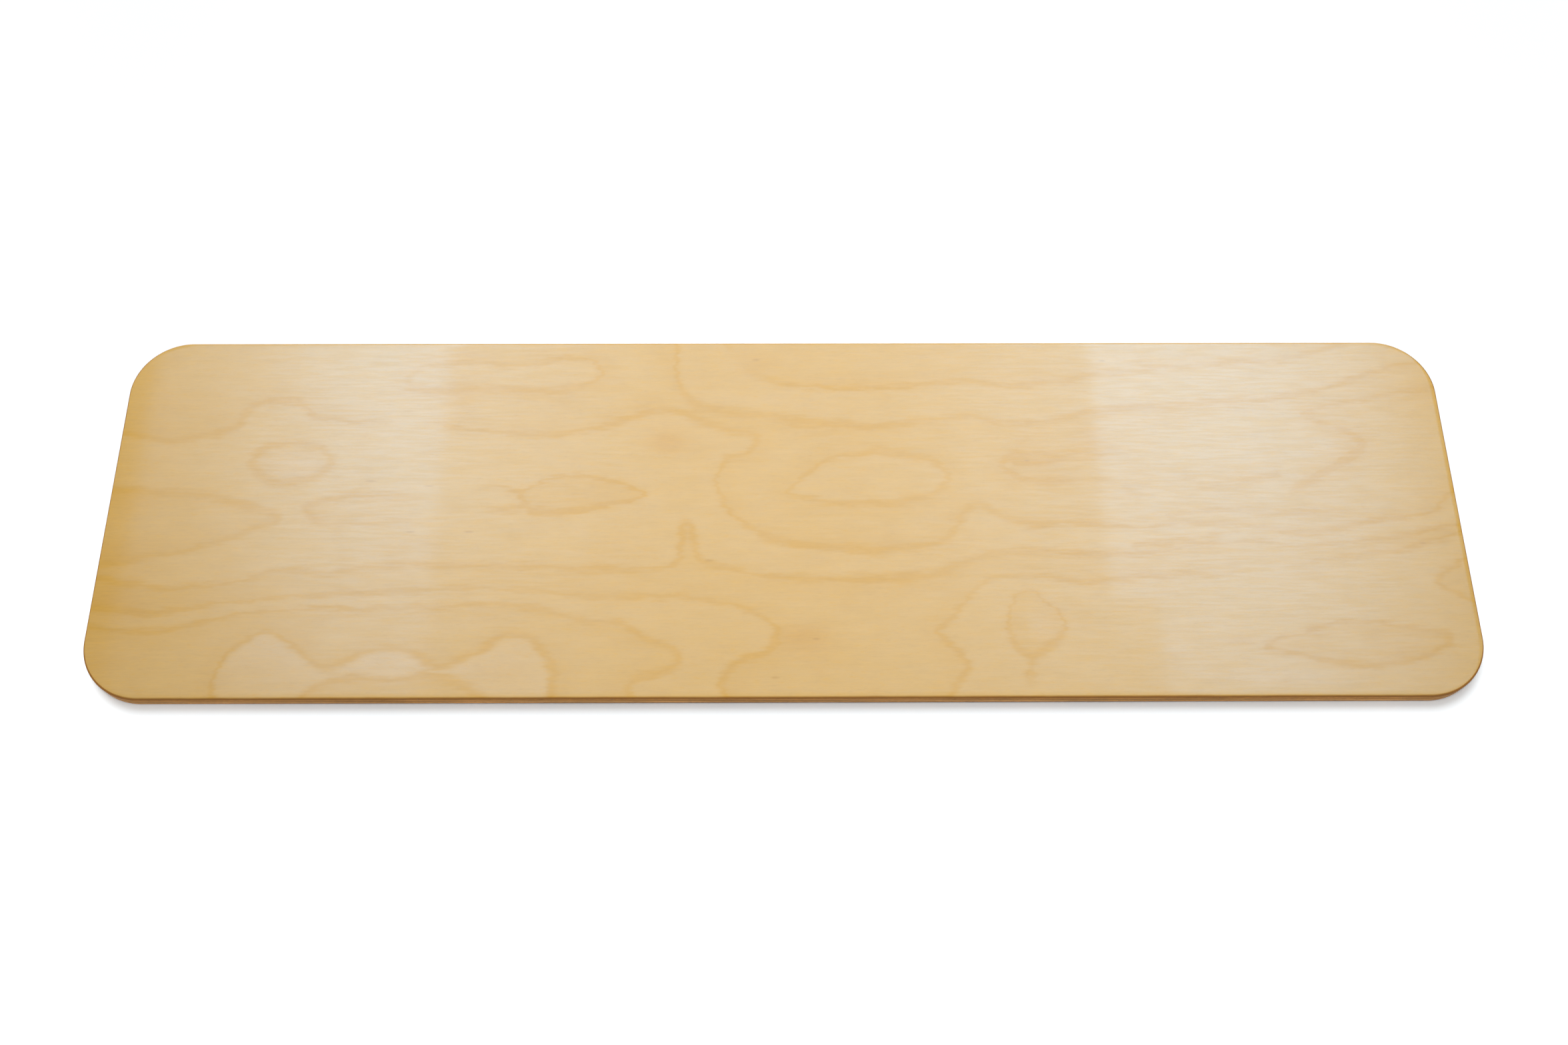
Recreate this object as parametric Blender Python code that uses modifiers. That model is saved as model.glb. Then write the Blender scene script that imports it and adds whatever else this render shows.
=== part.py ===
"""Transfer board: a straight seven-ply birch plywood board with rounded corners and eased edges.

Frame: metres, +Z up, +X along the board, +Y across it towards the back edge.
The origin is the centre of the underside, on the surface that the board lies on.

The board is laid up the way plywood is. Seven veneers lie on each other: the face veneer, the back
veneer and two core veneers have their grain along X, and the three crossbands between them have it
along Y. A crossband is laid from several sheets, butted side by side. The pressed panel is cut to
its outline, and its edges are rounded over through the outer veneers.
"""

import math

import bmesh
import bpy
from mathutils import Vector

# Overall size of the finished board
LENGTH = 0.7112
WIDTH = 0.2032
THICKNESS = 0.0090
CORNER_RADIUS = 0.031
EDGE_ROUNDOVER = 0.0012

# The lay-up: two thin outer veneers, and five inner ones that share what is left
OUTER_VENEER = 0.00115
INNER_VENEER_COUNT = 5
INNER_VENEER = (THICKNESS - 2 * OUTER_VENEER) / INNER_VENEER_COUNT
GLUE_LINE = 0.00010
BUTT_GAP = 0.00030

# Where the sheets of a crossband meet, along X from the middle of the board
UPPER_CROSSBAND_JOINTS = (-0.184, -0.087, 0.218)
CENTRE_CROSSBAND_JOINTS = (-0.137, -0.011, 0.176, 0.311)

# Fineness of the faceted surface
CORNER_SEGMENTS = 16
ROUNDOVER_SEGMENTS = 3
WELD_DISTANCE = 0.00001
FLAT_ANGLE = math.radians(1)
SMOOTH_ANGLE = math.radians(30)
RIM_ANGLE = math.radians(60)
CUTTER_MARGIN = 0.010

# Finishes of the lacquered wood: colour (red, green, blue, alpha) and roughness
FACE_FINISH = ((0.66, 0.47, 0.22, 1.0), 0.35)
LONG_GRAIN_FINISH = ((0.42, 0.25, 0.09, 1.0), 0.50)
END_GRAIN_FINISH = ((0.24, 0.12, 0.035, 1.0), 0.60)


def clear_scene():
    """Starts from an empty scene."""
    for existing in list(bpy.data.objects):
        bpy.data.objects.remove(existing)


def new_collection(name):
    """A collection directly under the scene."""
    collection = bpy.data.collections.new(name)
    bpy.context.scene.collection.children.link(collection)
    return collection


def wood_material(name, finish):
    """Lacquered wood of one average colour; finish is its colour and its roughness."""
    colour, roughness = finish
    material = bpy.data.materials.new(name)
    material.use_nodes = True
    shader = material.node_tree.nodes["Principled BSDF"]
    shader.inputs["Base Color"].default_value = colour
    shader.inputs["Roughness"].default_value = roughness
    shader.inputs["Metallic"].default_value = 0.0
    return material


def outline_points():
    """The board's plan, counter-clockwise: a rectangle with an arc at each corner."""
    centre_x = LENGTH / 2 - CORNER_RADIUS
    centre_y = WIDTH / 2 - CORNER_RADIUS
    corners = ((1, 1), (-1, 1), (-1, -1), (1, -1))
    points = []
    for quarter, (side_x, side_y) in enumerate(corners):
        for step in range(CORNER_SEGMENTS + 1):
            angle = math.radians(90) * (quarter + step / CORNER_SEGMENTS)
            x = side_x * centre_x + CORNER_RADIUS * math.cos(angle)
            y = side_y * centre_y + CORNER_RADIUS * math.sin(angle)
            points.append((x, y))
    return points


def evaluated_mesh(thing):
    """The mesh of an object with its modifiers, or of a curve with its thickness."""
    bpy.context.view_layer.update()
    depsgraph = bpy.context.evaluated_depsgraph_get()
    return bpy.data.meshes.new_from_object(thing.evaluated_get(depsgraph))


def panel_curve(collection):
    """The plan as a filled 2D curve, as thick as the board, with its underside at Z = 0."""
    curve = bpy.data.curves.new("panel_outline", "CURVE")
    curve.dimensions = "2D"
    curve.fill_mode = "BOTH"
    curve.extrude = THICKNESS / 2
    points = outline_points()
    spline = curve.splines.new("POLY")
    spline.points.add(len(points) - 1)
    for point, (x, y) in zip(spline.points, points):
        point.co = (x, y, 0, 1)
    spline.use_cyclic_u = True
    outline = bpy.data.objects.new("panel_outline", curve)
    outline.location.z = THICKNESS / 2
    collection.objects.link(outline)
    return outline


def weld_and_join_flats(mesh):
    """Welds the loose caps of a curve's mesh and makes each cap one flat face."""
    work = bmesh.new()
    work.from_mesh(mesh)
    bmesh.ops.remove_doubles(work, verts=work.verts, dist=WELD_DISTANCE)
    bmesh.ops.dissolve_limit(work, angle_limit=FLAT_ANGLE, verts=work.verts, edges=work.edges)
    work.to_mesh(mesh)
    work.free()


def pressed_panel(collection):
    """The mesh of the whole panel, cut to its outline, with both rims rounded over."""
    outline = panel_curve(collection)
    mesh = evaluated_mesh(outline)
    placed = outline.matrix_world.copy()
    bpy.data.objects.remove(outline)
    weld_and_join_flats(mesh)
    panel = bpy.data.objects.new("panel", mesh)
    panel.matrix_world = placed
    collection.objects.link(panel)

    bevel = panel.modifiers.new("edge_roundover", "BEVEL")
    bevel.width = EDGE_ROUNDOVER
    bevel.segments = ROUNDOVER_SEGMENTS
    bevel.limit_method = "ANGLE"
    bevel.angle_limit = RIM_ANGLE
    rounded = evaluated_mesh(panel)
    rounded.transform(placed)
    bpy.data.objects.remove(panel)
    rounded.shade_smooth()
    rounded.set_sharp_from_angle(angle=SMOOTH_ANGLE)
    return rounded


def box_cutter(name, low, high, collection):
    """A box from one corner to the other, which only cuts."""
    mesh = bpy.data.meshes.new(name)
    work = bmesh.new()
    bmesh.ops.create_cube(work, size=1.0)
    bmesh.ops.scale(work, vec=high - low, verts=work.verts)
    bmesh.ops.translate(work, vec=(low + high) / 2, verts=work.verts)
    work.to_mesh(mesh)
    work.free()
    cutter = bpy.data.objects.new(name, mesh)
    cutter.hide_render = True
    cutter.display_type = "WIRE"
    collection.objects.link(cutter)
    return cutter


def veneer(name, panel, x_span, z_span, finish, parts, cutters):
    """One veneer, or one sheet of a crossband: the part of the panel between the given planes."""
    reach_y = WIDTH / 2 + CUTTER_MARGIN
    low = Vector((x_span[0], -reach_y, z_span[0]))
    high = Vector((x_span[1], reach_y, z_span[1]))
    cutter = box_cutter(name + "_cutter", low, high, cutters)

    mesh = panel.copy()
    mesh.name = name
    mesh.materials.append(wood_material(name + "_birch", finish))
    sheet = bpy.data.objects.new(name, mesh)
    parts.objects.link(sheet)
    cut = sheet.modifiers.new("cut_to_layer", "BOOLEAN")
    cut.operation = "INTERSECT"
    cut.solver = "EXACT"
    cut.object = cutter
    return sheet


def layer_spans():
    """The Z span of each veneer from the top down, with half a glue line off each glued side."""
    thicknesses = [OUTER_VENEER] + [INNER_VENEER] * INNER_VENEER_COUNT + [OUTER_VENEER]
    spans = []
    top = THICKNESS
    for thickness in thicknesses:
        bottom = top - thickness
        spans.append([bottom + GLUE_LINE / 2, top - GLUE_LINE / 2])
        top = bottom
    spans[0][1] = THICKNESS + CUTTER_MARGIN
    spans[-1][0] = -CUTTER_MARGIN
    return spans


def sheet_spans(joints):
    """The X span of each sheet of a layer whose sheets meet at these places."""
    reach = LENGTH / 2 + CUTTER_MARGIN
    starts = [-reach] + [joint + BUTT_GAP / 2 for joint in joints]
    ends = [joint - BUTT_GAP / 2 for joint in joints] + [reach]
    return list(zip(starts, ends))


def build_board():
    """Lays up the board, one object for each sheet of veneer."""
    clear_scene()
    parts = new_collection("transfer_board")
    cutters = new_collection("cutters")
    layers = (
        ("face_veneer", (), FACE_FINISH),
        ("upper_crossband", UPPER_CROSSBAND_JOINTS, END_GRAIN_FINISH),
        ("upper_core_veneer", (), LONG_GRAIN_FINISH),
        ("centre_crossband", CENTRE_CROSSBAND_JOINTS, END_GRAIN_FINISH),
        ("lower_core_veneer", (), LONG_GRAIN_FINISH),
        ("lower_crossband", (), END_GRAIN_FINISH),
        ("back_veneer", (), FACE_FINISH),
    )

    panel = pressed_panel(cutters)
    for (layer, joints, finish), z_span in zip(layers, layer_spans()):
        for number, x_span in enumerate(sheet_spans(joints), start=1):
            name = f"{layer}_sheet_{number}" if joints else layer
            veneer(name, panel, x_span, z_span, finish, parts, cutters)
    bpy.data.meshes.remove(panel)
    bpy.context.view_layer.update()


build_board()
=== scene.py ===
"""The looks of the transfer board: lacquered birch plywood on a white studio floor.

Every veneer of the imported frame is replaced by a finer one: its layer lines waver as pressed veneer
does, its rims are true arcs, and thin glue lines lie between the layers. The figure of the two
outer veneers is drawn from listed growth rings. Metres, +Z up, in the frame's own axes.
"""

import math

import bmesh
import bpy
import numpy as np
from mathutils import Matrix, Vector
from mathutils.kdtree import KDTree


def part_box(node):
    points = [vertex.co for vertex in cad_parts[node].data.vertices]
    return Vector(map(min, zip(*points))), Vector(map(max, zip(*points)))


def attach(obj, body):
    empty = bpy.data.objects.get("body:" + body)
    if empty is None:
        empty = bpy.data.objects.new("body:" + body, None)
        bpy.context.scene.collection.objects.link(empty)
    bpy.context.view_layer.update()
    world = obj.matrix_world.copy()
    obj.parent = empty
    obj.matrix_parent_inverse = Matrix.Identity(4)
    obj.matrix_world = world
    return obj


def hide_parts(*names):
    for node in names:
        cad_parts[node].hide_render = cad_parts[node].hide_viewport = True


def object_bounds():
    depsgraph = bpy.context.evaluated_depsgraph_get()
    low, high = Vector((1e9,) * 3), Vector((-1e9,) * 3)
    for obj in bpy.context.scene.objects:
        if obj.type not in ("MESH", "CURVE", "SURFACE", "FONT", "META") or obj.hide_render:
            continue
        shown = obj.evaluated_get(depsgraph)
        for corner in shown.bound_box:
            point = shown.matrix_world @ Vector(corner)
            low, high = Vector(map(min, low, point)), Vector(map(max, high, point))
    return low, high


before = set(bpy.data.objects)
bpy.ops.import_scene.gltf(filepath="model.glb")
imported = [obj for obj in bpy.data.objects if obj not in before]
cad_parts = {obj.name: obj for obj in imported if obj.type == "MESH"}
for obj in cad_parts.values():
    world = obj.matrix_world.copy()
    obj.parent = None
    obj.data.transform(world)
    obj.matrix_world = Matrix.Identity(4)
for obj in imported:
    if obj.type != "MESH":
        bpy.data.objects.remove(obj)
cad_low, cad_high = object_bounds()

MM = 0.001

# The board, from the frame
HALF_LENGTH = (cad_high.x - cad_low.x) / 2
HALF_WIDTH = (cad_high.y - cad_low.y) / 2
THICKNESS = cad_high.z - cad_low.z
CORNER_RADIUS = 31.0 * MM
EDGE_ROUNDOVER = 1.2 * MM
LAYERS = (
    "face_veneer", "upper_crossband", "upper_core_veneer", "centre_crossband",
    "lower_core_veneer", "lower_crossband", "back_veneer",
)

# Fineness of the meshes and of the rings' curves
STRAIGHT_STEP = 2.0 * MM
CORNER_CELLS = 16
ROUNDOVER_ROWS = 6
SIDE_ROWS = 3
CAP_INSET = 4.0 * MM
RING_SAMPLE = 0.3 * MM
FLOOR_SIDES = 96
SHARP_ANGLE = math.radians(35)

# How far the layer lines waver, each wave's share and turns round the board, and each layer's shift
LAYER_WAVE = 0.10 * MM
LAYER_WAVE_PARTS = ((0.36, 7), (0.28, 16), (0.20, 37), (0.16, 83))
LAYER_WAVE_SHIFT = 0.618

# How far the glue lies back, and how open and how far from upright, in degrees, the butt joints are
GLUE_RECESS = 0.04 * MM
JOINT_OPENING = 0.45 * MM
JOINT_RECESS = 0.12 * MM
RESIN_CLEARANCE = 0.004 * MM
JOINT_LEANS = (6, -12, 15, -4, 10, -14, 20)

# The relief that sanding leaves on the faces, and its waves: their shares, and their lengths in
# metres, the main one first
FACE_RELIEF = 0.035 * MM
LONG_WAVE = (0.40, 0.31, 0.19)
CROSS_WAVE = (0.35, 0.062, 0.44)
SLANTING_WAVE = (0.25, 0.083, 0.21)

# How much more the rims are worn at the corners; how much lighter the back edge's rim is painted,
# as the light falls on that edge; and how wide the soft border of a pale or dark ring is
CORNER_WEAR = 0.45
BACK_RIM_PAINTED_LIGHT = 0.7
ZONE_BORDER = 3.0 * MM

# How far a wide lens, which bulges the picture, moves the face's figure, in millimetres. A place is
# in units of 100 mm: factors of x, x cubed and xy along the board, and of 1, y and xxy across it
LENS_UNIT = 100.0 * MM
LENS_PULL_ALONG = (-4.14, 0.34, 0.40)
LENS_PULL_ACROSS = (-0.93, -2.17, 0.335)

# The view: the camera looks at the middle of the sliding face, but for a small shift right and up
CAMERA_PITCH = math.radians(67.0)
CAMERA_YAW = math.radians(0.957)
CAMERA_ROLL = math.radians(0.768)
CAMERA_DISTANCE = 0.8011
CAMERA_RIGHT = -0.0005
CAMERA_UP = -0.0058
CAMERA_LENS = 34.96
CAMERA_SENSOR = 36.0
CAMERA_CLIP_START = 0.01

# Growth rings of the face veneer in millimetres: closed curves through these points. Where a ring
# runs off the board, its closing points lie beyond the edge.
FACE_RINGS = {
    "long_ring": (
        (-365, 43), (-325, 42), (-304, 46), (-291, 51), (-286, 60), (-273, 65), (-256, 63), (-249, 55),
        (-232, 53), (-205, 51), (-180, 50), (-160, 46), (-120, 44), (-97, 47), (-75, 55), (-60, 58),
        (-47, 53), (-30, 46), (-15, 41), (-18, 34), (-31, 28), (-35, 16), (-30, 3), (-18, -9), (2, -19),
        (30, -22), (72, -20), (84, -14), (90, -3), (98, 3), (110, -4), (128, -8), (150, -8), (175, -10),
        (215, -8), (245, -10), (266, -15), (290, -11), (315, -6), (338, -3), (350, 6), (375, 20),
        (375, -150), (-375, -150),
    ),
    "left_eye": (
        (-280, 28), (-274, 37), (-258, 40), (-243, 36), (-236, 28), (-243, 20), (-258, 16), (-273, 20),
    ),
    "left_tongue": (
        (-375, 8), (-325, 11), (-298, 9), (-278, 3), (-261, -4), (-275, -11), (-294, -18), (-322, -25),
        (-375, -27),
    ),
    "small_eye": (
        (-247, -1), (-240, 5), (-222, 9), (-200, 8), (-180, 3), (-178, -3), (-200, -7), (-225, -8),
        (-241, -6),
    ),
    "spiked_line": (
        (-375, -45), (-310, -44), (-280, -41), (-262, -35), (-245, -34), (-225, -35), (-200, -31),
        (-150, -31), (-100, -32), (-54, -29), (-51, -8), (-48, -8), (-43, -26), (-25, -33), (0, -37),
        (40, -38), (70, -36), (86, -31), (104, -24), (130, -24), (175, -25), (205, -21), (240, -18),
        (262, -21), (295, -19), (325, -15), (375, -12), (375, -150), (-375, -150),
    ),
    "outer_front_ring": (
        (-375, -58), (-320, -57), (-290, -53), (-255, -48), (-205, -46), (-150, -44), (-120, -45),
        (-90, -48), (-50, -48), (-25, -52), (-10, -60), (-3, -69), (-8, -76), (-22, -82), (-31, -91),
        (-28, -115), (-375, -115),
    ),
    "inner_front_ring": (
        (-375, -69), (-325, -68), (-300, -64), (-255, -56), (-190, -54), (-150, -52), (-130, -52),
        (-112, -56), (-95, -61), (-80, -62), (-68, -70), (-54, -75), (-52, -81), (-61, -88), (-75, -93),
        (-72, -115), (-375, -115),
    ),
    "front_lobes": (
        (-272, -115), (-283, -94), (-279, -82), (-270, -73), (-259, -67), (-246, -73), (-236, -80),
        (-224, -86), (-208, -78), (-196, -75), (-184, -76), (-168, -84), (-154, -79), (-138, -69),
        (-126, -68), (-118, -76), (-113, -88), (-118, -115),
    ),
    "under_front_lobes": (
        (-240, -115), (-232, -98), (-216, -92), (-190, -92), (-168, -90), (-152, -96), (-140, -115),
    ),
    "back_left_oval": (
        (-200, 74), (-197, 82), (-184, 86), (-165, 88), (-137, 86), (-115, 90), (-100, 86), (-95, 80),
        (-104, 74), (-118, 70), (-150, 71), (-180, 71),
    ),
    "pointed_oval": (
        (-134, 8), (-129, 14), (-116, 19), (-100, 19), (-84, 15), (-72, 9), (-84, 4), (-104, 0), (-120, -1),
        (-131, 2),
    ),
    "middle_oval": (
        (1, 9), (9, 18), (20, 27), (42, 32), (66, 31), (80, 25), (84, 18), (77, 10), (60, 5), (35, 4),
        (14, 6),
    ),
    "back_line": (
        (-50, 115), (-57, 92), (-55, 73), (-47, 62), (-30, 57), (-10, 54), (15, 50), (50, 49), (82, 52),
        (98, 54), (111, 50), (125, 49), (150, 54), (175, 59), (210, 61), (265, 67), (297, 74), (320, 82),
        (340, 88), (375, 95), (375, 115),
    ),
    "line_along_back_edge": (
        (-30, 115), (-26, 90), (-8, 76), (20, 71), (55, 72), (95, 75), (120, 72), (150, 76), (180, 81),
        (240, 88), (280, 92), (330, 115),
    ),
    "right_front_ring": (
        (74, -115), (82, -94), (88, -86), (82, -76), (75, -67), (82, -57), (91, -48), (100, -40),
        (111, -37), (128, -37), (146, -40), (168, -38), (205, -36), (245, -34), (272, -30), (300, -26),
        (325, -22), (375, -14), (375, -115),
    ),
    "upright_oval": (
        (120, -45), (113, -51), (109, -62), (112, -73), (120, -80), (129, -74), (137, -63), (129, -51),
    ),
    "front_right_oval": (
        (238, -75), (258, -69), (278, -64), (300, -64), (322, -68), (338, -73), (328, -79), (312, -84),
        (290, -87), (265, -83), (248, -79),
    ),
    "right_notch": ((375, -26), (350, -32), (336, -41), (348, -50), (375, -62)),
}

# Lines of the face veneer that end on the board, in millimetres
FACE_LINES = (
    ((375, 77), (335, 70), (308, 64), (290, 60), (277, 56), (288, 51), (301, 46), (309, 39), (301, 31),
     (287, 23), (264, 10)),
    ((190, 34), (164, 34), (140, 32), (120, 31), (112, 26), (119, 19), (136, 16), (160, 17), (185, 14)),
    ((118, 27), (140, 28), (168, 32)),
    ((-134, 11), (-146, 14), (-158, 13)),
    ((-131, 3), (-142, 0), (-156, 1)),
    ((176, 11), (196, 17), (214, 20)),
    ((216, 13), (238, 16), (258, 21)),
    ((176, -20), (205, -17), (232, -13)),
    ((196, -4), (230, 0), (262, -2), (300, 2)),
    ((120, -80), (118, -90), (123, -104)),
)

# How pale (above 0) or dark (below 0) the wood is inside a ring
FACE_ZONES = {
    "left_eye": 0.15,
    "front_lobes": 0.62,
    "under_front_lobes": -0.45,
    "middle_oval": 0.25,
    "upright_oval": 0.10,
    "back_left_oval": 0.15,
    "front_right_oval": -0.32,
}

# Places where rings fade (to -1) or stand out (above 0): x, y, reach along and across in
# millimetres, and how much
FACE_ACCENTS = (
    (-196, 51, 14, 8, -1.0),
    (-180, 0, 22, 10, -1.0),
    (188, 25, 22, 13, -1.0),
    (-24, 88, 16, 14, -1.0),
    (-160, 14, 8, 5, -1.0),
    (-158, 1, 8, 5, -1.0),
    (120, -98, 8, 8, -1.0),
    (250, -34, 30, 5, -1.0),
    (300, 2, 20, 4, -1.0),
    (258, 8, 8, 6, -0.6),
    (296, 40, 24, 24, 0.9),
    (-100, 9, 44, 14, 0.9),
    (122, 25, 26, 12, 0.8),
    (-10, -70, 26, 26, 0.3),
    (290, -75, 60, 14, 0.3),
)

# Pale and dark clouds in the wood: x, y, reach along and across in millimetres, and strength
FACE_CLOUDS = (
    (-348, -50, 26, 60, -0.6),
    # Darker just left of where the right window shows in the lacquer
    (160, 42, 9, 9, -0.5),
    (-172, 70, 9, 9, -0.4),
    (-168, 56, 10, 5, -0.35),
    (-167, -55, 8, 10, -0.35),
    (-257, 28, 13, 7, 0.3),
    (126, -62, 7, 12, 0.35),
    (113, -62, 4, 12, -0.5),
    (-61, 38, 11, 7, -0.7),
    (-15, 84, 18, 10, -0.6),
    (-100, 10, 18, 6, -0.3),
    (8, -68, 14, 8, -0.7),
    (36, -82, 42, 14, -0.4),
    # Darker just left of where the right window shows in the lacquer
    (168, -54, 26, 8, -0.5),
    (226, -73, 14, 5, -0.9),
    (250, -93, 60, 6, 0.6),
    (190, -78, 16, 10, 0.5),
    (292, 40, 14, 12, 0.3),
    (-102, -12, 7, 5, 0.6),
    (-200, -2, 26, 9, 0.4),
    (-216, -52, 26, 6, 0.3),
    (-20, 64, 40, 8, 0.4),
)

# Small dark pin flecks on the face: x, y and reach along the board and across it, in millimetres
FACE_FLECKS = (
    (-15, 88, 2.6, 0.8),
    (170, 88, 2.2, 0.7),
    (332, -20, 2.4, 0.8),
    (125, 28, 2.0, 0.6),
    (-38, -28, 3.0, 0.8),
    (15, -70, 2.4, 0.8),
    (-5, -90, 2.8, 0.9),
    (-214, 17, 4.0, 0.7),
    (-190, -12, 3.2, 0.7),
    (-160, -12, 3.0, 0.8),
    (-183, 14, 3.4, 0.5),
)

# Rings, lines, zones, accents, clouds and flecks of the back veneer, whose figure is invented
BACK_RINGS = {
    "back_ring": (
        (-375, 60), (-300, 57), (-210, 44), (-120, 49), (-20, 63), (70, 55), (160, 41), (250, 48),
        (330, 62), (375, 66), (375, 130), (-375, 130),
    ),
    "long_line": (
        (-375, 26), (-310, 24), (-230, 13), (-150, 15), (-80, 27), (-10, 31), (60, 20), (130, 3), (210, 9),
        (290, 24), (375, 30), (375, 150), (-375, 150),
    ),
    "oval": (
        (-210, -12), (-160, -3), (-90, 4), (-35, 3), (-5, -8), (-40, -20), (-110, -24), (-175, -21),
    ),
    "heart_of_oval": ((-150, -10), (-105, -6), (-62, -6), (-40, -9), (-66, -14), (-110, -16)),
    "front_line": (
        (-375, -34), (-280, -33), (-190, -42), (-80, -44), (20, -36), (90, -40), (170, -50), (260, -44),
        (375, -34), (375, -130), (-375, -130),
    ),
    "front_ring": (
        (-375, -62), (-300, -60), (-200, -66), (-110, -72), (-40, -64), (30, -58), (95, -66), (180, -76),
        (270, -70), (375, -60), (375, -150), (-375, -150),
    ),
    "back_right_oval": ((170, 82), (215, 89), (262, 87), (288, 79), (250, 73), (205, 73)),
    "front_lobe": ((-90, -115), (-72, -93), (-30, -84), (15, -88), (48, -98), (58, -115)),
}
BACK_LINES = (((70, 66), (120, 60), (170, 62)), ((-320, -10), (-290, -4), (-250, -8)))
BACK_ZONES = {"heart_of_oval": 0.9, "back_right_oval": 0.6, "front_lobe": 0.7}
BACK_ACCENTS = (
    (-300, 25, 40, 8, -1.0),
    (120, 4, 30, 8, -0.8),
    (90, -40, 30, 8, -1.0),
    (-190, -65, 30, 8, -1.0),
    (-60, -12, 40, 20, 0.4),
)
BACK_CLOUDS = ((60, 20, 40, 12, -0.6), (-240, 60, 40, 12, 0.5))
BACK_FLECKS = ((-60, 70, 2.6, 0.8), (150, -20, 2.2, 0.7), (280, -84, 2.6, 0.8), (-250, -5, 2.2, 0.7))

# Colours, linear: the outer veneers' plain wood, late wood, pale and dark clouds, and the rest
PLAIN_WOOD = (0.580, 0.364, 0.111)
LATE_WOOD = (0.554, 0.314, 0.056)
PALE_WOOD = (0.592, 0.396, 0.172)
DARK_WOOD = (0.556, 0.322, 0.076)
FLECK_WOOD = (0.350, 0.178, 0.042)
# The rims' colour: partly real wear, partly painted shade that deepens down the roundover
WORN_AND_SHADED_RIM = (0.328, 0.142, 0.030)
RESIN = (0.060, 0.024, 0.009)
PALE_RESIN = (0.120, 0.050, 0.018)
PAPER_COLOURS = ((0.822, 0.862, 0.888), (0.842, 0.882, 0.908))

# Edge colours of the inner veneers, linear: long grain and end grain
LAYER_COLOURS = {
    "upper_crossband": ((0.450, 0.236, 0.068), (0.440, 0.178, 0.036)),
    "upper_core_veneer": ((0.630, 0.325, 0.098), (0.250, 0.125, 0.040)),
    "centre_crossband": ((0.380, 0.200, 0.065), (0.370, 0.150, 0.034)),
    "lower_core_veneer": ((0.740, 0.430, 0.165), (0.330, 0.180, 0.062)),
    "lower_crossband": ((0.440, 0.240, 0.075), (0.560, 0.235, 0.052)),
}

# Grain of the surfaces: waves a metre along each axis, detail, and a shift that tells them apart
GRAIN = {
    "feather": ((80, 480, 300), 4.0, 0.0),
    "waver": ((50, 130, 30), 2.0, 7.0),
    "ring_width": ((9, 26, 10), 2.0, 6.0),
    "ring_patches": ((14, 30, 10), 2.0, 3.0),
    "clouds": ((9, 22, 1), 2.0, 11.0),
    "streaks": ((22, 620, 300), 4.0, 5.0),
    "dashes": ((240, 1150, 300), 4.0, 8.0),
    "fibres": ((90, 2600, 900), 2.0, 2.0),
    "mottle": ((70, 150, 60), 3.0, 10.0),
    "pores": ((260, 3000, 900), 1.0, 9.0),
    "wear_and_shade": ((60, 60, 400), 3.0, 4.0),
    "gloss": ((70, 900, 300), 2.0, 6.0),
    "sheen": ((60, 900, 300), 3.0, 12.0),
    "lacquer": ((120, 260, 200), 2.0, 1.0),
    "edge_patches": ((34, 34, 150), 3.0, 8.0),
    "resin_lumps": ((300, 300, 900), 3.0, 0.0),
    "paper_tooth": ((700, 700, 700), 3.0, 0.0),
}

# Grain of an inner veneer's edge: waves a metre along its fibres and across them, detail, shift
EDGE_BANDS = (22, 420, 3.0, 1.0)
EDGE_FIBRES = (110, 2400, 2.0, 3.0)
EDGE_PORES = (300, 3600, 1.0, 6.0)

# How strongly the grain tells on an inner veneer's edge, and the tone that it is added to
EDGE_BAND_TONE = (0.9, 0.55)
EDGE_PATCH_TONE = (0.8, 0.60)
EDGE_FIBRE_TONE = (0.30, 0.85)
EDGE_PORE_DARKNESS = 0.5

# A growth ring: how far it strays sideways, half its dark line at its narrowest and widest, the
# strength of that line and of the soft band beside it, and how far that band and the pale wood reach
FEATHER_SWING = 7.0 * MM
WAVER_SWING = 5.0 * MM
LINE_REACH = (1.6 * MM, 4.8 * MM)
LINE_STRENGTH = 0.60
LINE_PATCHES = (0.60, 1.0)
HALO_STRENGTH = 0.34
HALO_OUTWARD = 16.0 * MM
HALO_INWARD = 5.0 * MM
EARLY_WOOD_RISE = (0.5 * MM, -2.5 * MM)
EARLY_WOOD_END = -16.0 * MM
EARLY_WOOD_PALENESS = 0.08

# The outer veneers: contrast of the clouds, and how strongly each grain tells over the base tone
CLOUD_CONTRAST = 1.8
CLOUD_SPAN = (0.05, 1.1)
BASE_TONE = 0.820
STREAK_TONE = 0.06
MOTTLE_TONE = 0.08
DASH_TONE = 0.14
FIBRE_TONE = 0.10
DASH_GOLD = 0.5
PORE_DARKNESS = 0.22
FLECK_DARKNESS = 0.30
WEAR_AND_SHADE_NOISE = 0.3
WEAR_AND_SHADE_SPAN = (0.14, 0.78)

# Gloss and fine relief of the lacquered faces, and of the sanded edges
FACE_ROUGHNESS = (0.34, 0.46)
FACE_SPECULAR = 0.05
COAT_WEIGHT = (0.78, 1.0)
COAT_ROUGHNESS = 0.065
COAT_IOR = 1.5
COAT_WEAR = 0.95
FIBRE_RELIEF = 0.006 * MM
STREAK_RELIEF = 0.008 * MM
LACQUER_RELIEF = 0.004 * MM
EDGE_ROUGHNESS = (0.42, 0.62)
EDGE_SPECULAR = 0.03
EDGE_FIBRE_RELIEF = 0.03 * MM
EDGE_BAND_RELIEF = 0.04 * MM
RESIN_ROUGHNESS = (0.35, 0.60)
RESIN_RELIEF = 0.03 * MM
PAPER_ROUGHNESS = 0.85

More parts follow.
